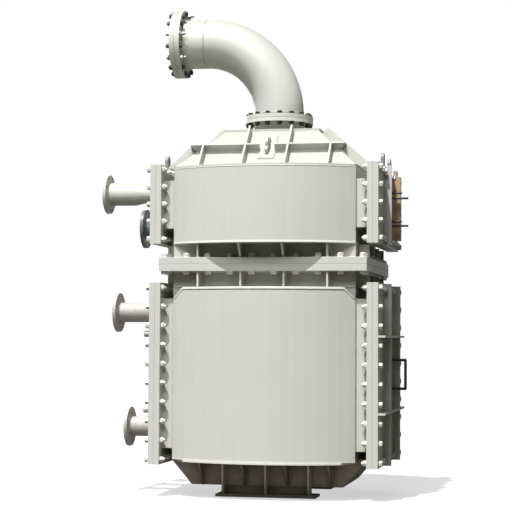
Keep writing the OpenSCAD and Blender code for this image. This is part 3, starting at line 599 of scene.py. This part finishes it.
for along, face, half_l, reach, roof_half_l, roof_reach, pitch in flanks:
    run = reach - roof_reach
    climb = Z_AXIS * slope_h - face * run
    way = climb.normalized()
    out = (face * slope_h + Z_AXIS * run).normalized()
    foot = face * reach + Z_AXIS * hood_lo.z
    for step in rib_steps:
        start = foot + along * step * pitch
        top = start + climb * (1.0 if abs(step) < 1 else ring_share)
        rib_welds(stock, start, top, along, rib_half, out, small_leg)
    fillet(stock, foot - along * half_l, foot + along * half_l, face, way, corner_leg)
    brow = foot + climb
    fillet(stock, brow - along * roof_half_l, brow + along * roof_half_l, Z_AXIS, -way, brow_leg)
    ring_half_l = half_l - (half_l - roof_half_l) * ring_share
    ring = foot + climb * ring_share
    if along == Y_AXIS:
        rib_welds(stock, ring - along * ring_half_l, ring + along * ring_half_l,
                  way, rib_half, out, small_leg)
        continue
    middle = ring + way * lug_up
    for side in (-1, 1):
        rib_welds(stock, ring + along * side * doubler_half_w, ring + along * side * ring_half_l,
                  way, rib_half, out, small_leg)
        hip = Vector((side * half_l, foot.y, foot.z))
        fillet(stock, hip, Vector((side * roof_half_l, brow.y, brow.z)),
               X_AXIS * -side * hip_flat + Z_AXIS * hip_rise, face * -hip_flat + Z_AXIS * hip_rise, hip_leg)
        edge = middle + along * side * doubler_half_w
        fillet(stock, edge - way * doubler_half_l, edge + way * doubler_half_l, along * side, out, small_leg)
        end = middle + way * side * doubler_half_l
        fillet(stock, end - along * doubler_half_w, end + along * doubler_half_w, way * side, out, small_leg)
    seat = middle + out * doubler_t
    rib_welds(stock, seat - way * lug_half_l, seat + way * lug_half_l, along, lug_half_t, out, small_leg)
dress(shell_enamel, "hood_ribs", "hood_ring", "hood_lugs")
# The slopes get a darker coat, a painted shade that keeps the sunlit slopes from washing out.
dress(enamel("grey_enamel_painted_shade", "#C2C3BC", "#BABBB3", "#85816F", corner_shading=0.45, roughness=0.42),
      "hood")
build("hood_welds", stock, shell_enamel)

# Gas neck and elbow: a 350 mm pipe bend with slip-on flanges, closed by a blanking plate.
# Girth welds join the pipes, fillets hold the flanges, and the neck is welded through the roof.
pipe_r = 0.1778
bend_r = 0.530
inlet_z = (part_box("blanking_plate")[0].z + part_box("blanking_plate")[1].z) / 2
neck_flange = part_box("roof_nozzle")[1].z
flange_t = 0.026
elbow_lo, elbow_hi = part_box("elbow_flange")
spool_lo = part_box("elbow_spool")[0]
end_flange_t = 0.036
seam_half = 0.007
girth_crown = 0.12
stock = new_stock()


def girth_weld(stock, centre, axis, radius):
    """A low round seam where two pipes are butted together."""
    u = axis.orthogonal().normalized()
    v = axis.cross(u)
    count = 2 * round(math.pi * radius / RIPPLE)
    stations = []
    for i in range(count):
        turn = 2 * math.pi * i / count
        out = u * math.cos(turn) + v * math.sin(turn)
        stations.append((centre + out * radius, axis, -axis, out * girth_crown))
    bead(stock, stations, seam_half, closed=True)


girth_weld(stock, Vector((0, 0, elbow_hi.z)), Z_AXIS, pipe_r)
girth_weld(stock, Vector((-bend_r, 0, inlet_z)), X_AXIS, pipe_r)
pipe_fillet(stock, Vector((0, 0, neck_flange - flange_t)), -Z_AXIS, pipe_r, corner_leg)
pipe_fillet(stock, Vector((spool_lo.x + end_flange_t, 0, inlet_z)), X_AXIS, pipe_r, corner_leg)
pipe_fillet(stock, Vector((0, 0, elbow_lo.z + flange_t)), Z_AXIS, pipe_r, small_leg)
pipe_fillet(stock, Vector((0, 0, hood_hi.z)), Z_AXIS, pipe_r, corner_leg)
dress(shell_enamel, "elbow_flange", "elbow_bend", "elbow_spool", "blanking_plate")
# The neck under its flange gets a paler coat with little corner dust, painted light thrown back from the
# roof.
dress(enamel("grey_enamel_painted_roof_light", "#D9DAD3", "#D1D2CA", "#A5A192", corner_shading=0.2, roughness=0.42),
      "roof_nozzle")
build("elbow_welds", stock, shell_enamel)

# Gas flange bolts: black hexagon bolts with low heads, in holes that straddle the flange's centre lines.
# A few bright zinc ones with long threads replace them in the end joint.
gas_pcd_r = 0.2225
gas_count = 16
gas_flats = 0.032
gas_bolt_d = 0.022
gas_head_h = 0.015
gas_nut_h = 0.018
gas_thread = 0.005
bright_thread = 0.022


def bolt_steel(name, tone_a, tone_b, metallic, roughness):
    """Bare, plated or scaled steel: a thin uneven skin, so the eye sees cloudy tones and a broken gloss."""
    material, tree, output = blank_material(name)
    skin_size = 0.012
    place = add(tree, "ShaderNodeTexCoord").outputs["Object"]
    tone = add(tree, "ShaderNodeTexNoise", {"Vector": place, "Scale": 1 / skin_size, "Detail": 3.0})
    colour = add(tree, "ShaderNodeMix", {
        0: tone.outputs["Fac"], 6: linear(tone_a), 7: linear(tone_b),
    }, data_type="RGBA")
    gloss = add(tree, "ShaderNodeMapRange", {
        "Value": tone.outputs["Fac"], "To Min": roughness - 0.1, "To Max": roughness + 0.1,
    })
    bump = add(tree, "ShaderNodeBump", {"Height": tone.outputs["Fac"], "Distance": 0.0006, "Strength": 0.4})
    shader = add(tree, "ShaderNodeBsdfPrincipled", {
        "Base Color": colour.outputs[2], "Roughness": gloss.outputs[0], "Normal": bump.outputs[0],
        "Metallic": metallic,
    })
    tree.links.new(shader.outputs[0], output.inputs[0])
    return material


# Black oxide is a dull, nearly black skin, and zinc plate a bright cloudy grey one.
black_oxide = bolt_steel("black_oxide_steel", "#1B1A19", "#2B2927", metallic=0.0, roughness=0.5)
zinc_plate = bolt_steel("zinc_plated_steel", "#A9A9A7", "#858684", metallic=1.0, roughness=0.35)
black_stock = new_stock()
bright_stock = new_stock()
end_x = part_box("blanking_plate")[0].x
# Face under the heads, the way that they point, face under the nuts, where the count starts, bright ones.
joints = [
    (Vector((0, 0, elbow_lo.z + flange_t)), Z_AXIS, Vector((0, 0, neck_flange - flange_t)), X_AXIS, ()),
    (Vector((spool_lo.x + end_flange_t, 0, inlet_z)), X_AXIS, Vector((end_x, 0, inlet_z)), Z_AXIS,
     (0, 10, 12)),
]
for head_face, axis, nut_face, u, bright in joints:
    for i in range(gas_count):
        turn = (i + 0.5) * 2 * math.pi / gas_count
        shift = (u * math.cos(turn) + Y_AXIS * math.sin(turn)) * gas_pcd_r
        if i in bright:
            nut_end(bright_stock, head_face + shift, axis, gas_flats, gas_nut_h, gas_bolt_d, bright_thread)
            nut_end(bright_stock, nut_face + shift, -axis, gas_flats, gas_nut_h, gas_bolt_d, gas_thread)
        else:
            bolt_head(black_stock, head_face + shift, axis, gas_flats, gas_head_h)
            nut_end(black_stock, nut_face + shift, -axis, gas_flats, gas_nut_h, gas_bolt_d, gas_thread)
build("gas_flange_bolts", black_stock, black_oxide, sharp=30)
build("gas_flange_bright_bolts", bright_stock, zinc_plate, sharp=30)

# Water nozzles: flanged pipes through the left covers. The upper outlet is painted with the vessel,
# the upper inlet keeps its slate primer, and both lower ones are bare stainless with a rubbed film.
# Each is fillet welded to its cover and to its flange.
# Rubbed stainless has a broad soft sheen, and the primer is a plain blue grey.
stainless = bolt_steel("rubbed_stainless", "#CAC6C3", "#AFABA7", metallic=1.0, roughness=0.80)
slate_primer = bolt_paint("slate_primer", "#6A7070", "#5A6265")
nozzle_y = -0.165
nozzle_flange_t = 0.022
cover_face = -cover_x
# Name, pipe radius at the cover, pipe radius at the flange, finish and slot.
nozzles = [
    ("upper_water_outlet", 0.064, 0.0826, shell_enamel, "paint"),
    ("upper_water_inlet", 0.0699, 0.0699, slate_primer, "slate_paint"),
    ("lower_water_outlet", 0.0699, 0.0699, stainless, "bare_metal"),
    ("lower_water_inlet", 0.0699, 0.0699, stainless, "bare_metal"),
]
for name, root_r, mouth_r, finish, slot in nozzles:
    lo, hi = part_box(name)
    z = (lo.z + hi.z) / 2
    stock = new_stock()
    pipe_fillet(stock, Vector((cover_face, nozzle_y, z)), -X_AXIS, root_r, corner_leg)
    pipe_fillet(stock, Vector((lo.x + nozzle_flange_t, nozzle_y, z)), X_AXIS, mouth_r, small_leg)
    dress(finish, name)
    build(name + "_welds", stock, finish)
dress(stainless, "vent_couplings")

# Cover fittings: flat-bar ribs and a grab handle on the lower right cover, a rib, two packing battens
# and black clamp studs on the upper right cover, and lifting lugs on top of both upper covers.
# Ribs and lugs are welded on, and the battens are packed behind the studs.
stock = new_stock()
upright_y = 0.285
level_z = 0.261
cover_lo, cover_hi = flange_boxes[0]
mid_z = (cover_lo.z + cover_hi.z) / 2
for sign in (-1, 1):
    rib_welds(stock,
              Vector((cover_x, sign * upright_y, cover_lo.z)),
              Vector((cover_x, sign * upright_y, cover_hi.z)),
              Y_AXIS, rib_half, X_AXIS, small_leg)
    z = mid_z + sign * level_z
    for y0, y1 in ((-cover_hi.y, -upright_y), (-upright_y, upright_y), (upright_y, cover_hi.y)):
        rib_welds(stock, Vector((cover_x, y0 + rib_half, z)), Vector((cover_x, y1 - rib_half, z)),
                  Z_AXIS, rib_half, X_AXIS, small_leg)
upper_cover_lo, upper_cover_hi = flange_boxes[1]
rib_welds(stock,
          Vector((cover_x, -upright_y, upper_cover_lo.z)), Vector((cover_x, -upright_y, upper_cover_hi.z)),
          Y_AXIS, rib_half, X_AXIS, small_leg)
dress(shell_enamel, "lower_cover_ribs", "upper_cover_rib")
# The lugs were left in their mill scale, which looks flat and bluish.
dress(bolt_steel("mill_scale_steel", "#939197", "#706F75", metallic=0.0, roughness=0.5), "cover_lugs")
build("cover_welds", stock, shell_enamel)
dress(black_oxide, "lower_cover_handle", "clamp_studs")


def sawn_timber(name, pale, dark):
    """Rough sawn softwood: long grain along the batten and a furry, dull surface."""
    grain_width = 0.006
    grain_length = 0.4
    material, tree, output = blank_material(name)
    place = add(tree, "ShaderNodeTexCoord").outputs["Object"]
    along = add(tree, "ShaderNodeMapping", {
        "Vector": place, "Scale": (1 / grain_width, 1 / grain_width, 1 / grain_length),
    })
    grain = add(tree, "ShaderNodeTexNoise", {"Vector": along.outputs[0], "Scale": 1.0, "Detail": 4.0})
    colour = add(tree, "ShaderNodeMix", {
        0: grain.outputs["Fac"], 6: linear(pale), 7: linear(dark),
    }, data_type="RGBA")
    bump = add(tree, "ShaderNodeBump", {"Height": grain.outputs["Fac"], "Distance": 0.001, "Strength": 0.6})
    shader = add(tree, "ShaderNodeBsdfPrincipled", {
        "Base Color": colour.outputs[2], "Roughness": 0.8, "Normal": bump.outputs[0],
    })
    tree.links.new(shader.outputs[0], output.inputs[0])
    return material


dress(sawn_timber("sawn_softwood", "#DCC59F", "#83603A"), "timber_battens")

# Gaskets: compressed fibre sheet that shows as a thin line in every bolted joint.
# The shell's joints were painted over with the vessel, and those of the gas pipe were made up later.
gas_joints_from = 2.6


def fibre_sheet(name, painted, bare):
    """Compressed fibre sheet: a dull cut edge, pale where it was painted and slate blue where it is bare."""
    fibre_size = 0.008
    material, tree, output = blank_material(name)
    place = add(tree, "ShaderNodeTexCoord").outputs["Object"]
    height = add(tree, "ShaderNodeSeparateXYZ", {0: place})
    bare_share = add(tree, "ShaderNodeMath", {
        0: height.outputs["Z"], 1: gas_joints_from,
    }, operation="GREATER_THAN")
    colour = add(tree, "ShaderNodeMix", {
        0: bare_share.outputs[0], 6: linear(painted), 7: linear(bare),
    }, data_type="RGBA")
    fibre = add(tree, "ShaderNodeTexNoise", {"Vector": place, "Scale": 1 / fibre_size, "Detail": 2.0})
    gloss = add(tree, "ShaderNodeMapRange", {"Value": fibre.outputs["Fac"], "To Min": 0.6, "To Max": 0.8})
    bump = add(tree, "ShaderNodeBump", {"Height": fibre.outputs["Fac"], "Distance": 0.0005, "Strength": 0.5})
    shader = add(tree, "ShaderNodeBsdfPrincipled", {
        "Base Color": colour.outputs[2], "Roughness": gloss.outputs[0], "Normal": bump.outputs[0],
    })
    tree.links.new(shader.outputs[0], output.inputs[0])
    return material


dress(fibre_sheet("fibre_sheet", "#9FA098", "#5F6C73"), "gaskets")

# Studio: a plain pale floor and surround, a high key from the front left, a broad front softbox
# and a weak rear one. The camera stands where the photograph was taken from.
camera_place = Vector((2.1060, -11.4170, 1.0982))
camera_yaw = 0.19636
camera_pitch = 0.05037
camera_roll = 0.00606
focal_pixels = 1614.84
image_pixels = 512
ahead = Vector((
    -math.sin(camera_yaw) * math.cos(camera_pitch),
    math.cos(camera_yaw) * math.cos(camera_pitch),
    math.sin(camera_pitch),
))
level = Vector((math.cos(camera_yaw), math.sin(camera_yaw), 0))
upright = level.cross(ahead)
across = level * math.cos(camera_roll) + upright * math.sin(camera_roll)
upward = upright * math.cos(camera_roll) - level * math.sin(camera_roll)
lens = bpy.data.cameras.new("camera")
lens.sensor_width = 36
lens.lens = lens.sensor_width * focal_pixels / image_pixels
lens.clip_end = 200
camera = bpy.data.objects.new("camera", lens)
camera.matrix_world = Matrix((
    (across.x, upward.x, -ahead.x, camera_place.x),
    (across.y, upward.y, -ahead.y, camera_place.y),
    (across.z, upward.z, -ahead.z, camera_place.z),
    (0, 0, 0, 1),
))
bpy.context.scene.collection.objects.link(camera)
bpy.context.scene.camera = camera


def lamp(name, kind, place, target, energy, size=None, angle=None):
    """A lamp that looks from its place to a target."""
    data = bpy.data.lights.new(name, kind)
    data.energy = energy
    if size:
        data.shape = "RECTANGLE"
        data.size, data.size_y = size
    if angle:
        data.angle = angle
    holder = bpy.data.objects.new(name, data)
    holder.location = place
    holder.rotation_euler = (Vector(target) - Vector(place)).to_track_quat("-Z", "Y").to_euler()
    bpy.context.scene.collection.objects.link(holder)


lamp("key", "SUN", (-1.3, -3.75, 9.15), (0, 0, 0), energy=5.1, angle=math.radians(1))
lamp("front_softbox", "AREA", (-0.4, -7.0, 9.0), (0, 0, 1.5), energy=590, size=(4.6, 3))
lamp("rear_softbox", "AREA", (-4.5, 8.0, 5.0), (0, 0, 1.5), energy=500, size=(5, 4))

floor_mirrored = 0.2
floor_tone = (0.28, 0.28, 0.28, 1)
floor_glow = 0.6
warm_bounce = (1.0, 0.95, 0.86)
white = (1, 1, 1, 1)


def sheet(name, x0, x1, y0, y1, drop, bounce):
    """A level sheet that the camera sees as a pale floor, and that throws back a given share of the light."""
    mesh = bpy.data.meshes.new(name)
    mesh.from_pydata([(x0, y0, 0), (x1, y0, 0), (x1, y1, 0), (x0, y1, 0)], [], [(0, 1, 2, 3)])
    material, tree, output = blank_material(name)
    path = add(tree, "ShaderNodeLightPath")
    seen = add(tree, "ShaderNodeMath", {
        0: path.outputs["Is Camera Ray"], 1: path.outputs["Is Transmission Ray"],
    }, operation="MAXIMUM")
    mirrored = add(tree, "ShaderNodeMath", {
        0: path.outputs["Is Glossy Ray"], 1: floor_mirrored,
    }, operation="MULTIPLY")
    shown = add(tree, "ShaderNodeMath", {0: seen.outputs[0], 1: mirrored.outputs[0]}, operation="MAXIMUM")
    dull = add(tree, "ShaderNodeBsdfDiffuse", {"Color": [bounce * share for share in warm_bounce] + [1]})
    lit = add(tree, "ShaderNodeBsdfDiffuse", {"Color": floor_tone})
    glow = add(tree, "ShaderNodeEmission", {"Color": white, "Strength": floor_glow})
    pale = add(tree, "ShaderNodeAddShader", {0: lit.outputs[0], 1: glow.outputs[0]})
    mixed = add(tree, "ShaderNodeMixShader", {0: shown.outputs[0], 1: dull.outputs[0], 2: pale.outputs[0]})
    tree.links.new(mixed.outputs[0], output.inputs[0])
    mesh.materials.append(material)
    piece = bpy.data.objects.new(name, mesh)
    piece.location.z = -drop
    bpy.context.scene.collection.objects.link(piece)


sheet("floor", -40, 40, -40, 40, drop=0.0010, bounce=0.04)
sheet("front_mat", -1.6, 1.4, -3.0, -0.55, drop=0.0005, bounce=0.17)

sky_light = 0.06
sky_mirrored = 0.5
sky_seen = 1.0
world = bpy.data.worlds.new("surround")
world.use_nodes = True
bpy.context.scene.world = world
tree = world.node_tree
tree.nodes.clear()
path = add(tree, "ShaderNodeLightPath")
seen = add(tree, "ShaderNodeMath", {
    0: path.outputs["Is Camera Ray"], 1: path.outputs["Is Transmission Ray"],
}, operation="MAXIMUM")
mirrored = add(tree, "ShaderNodeMapRange", {
    "Value": path.outputs["Is Glossy Ray"], "To Min": sky_light, "To Max": sky_mirrored,
})
strength = add(tree, "ShaderNodeMapRange", {
    "Value": seen.outputs[0], "To Min": mirrored.outputs[0], "To Max": sky_seen,
})
sky = add(tree, "ShaderNodeBackground", {"Color": white, "Strength": strength.outputs[0]})
tree.links.new(sky.outputs[0], add(tree, "ShaderNodeOutputWorld").inputs[0])

bpy.context.scene.view_settings.view_transform = "Standard"
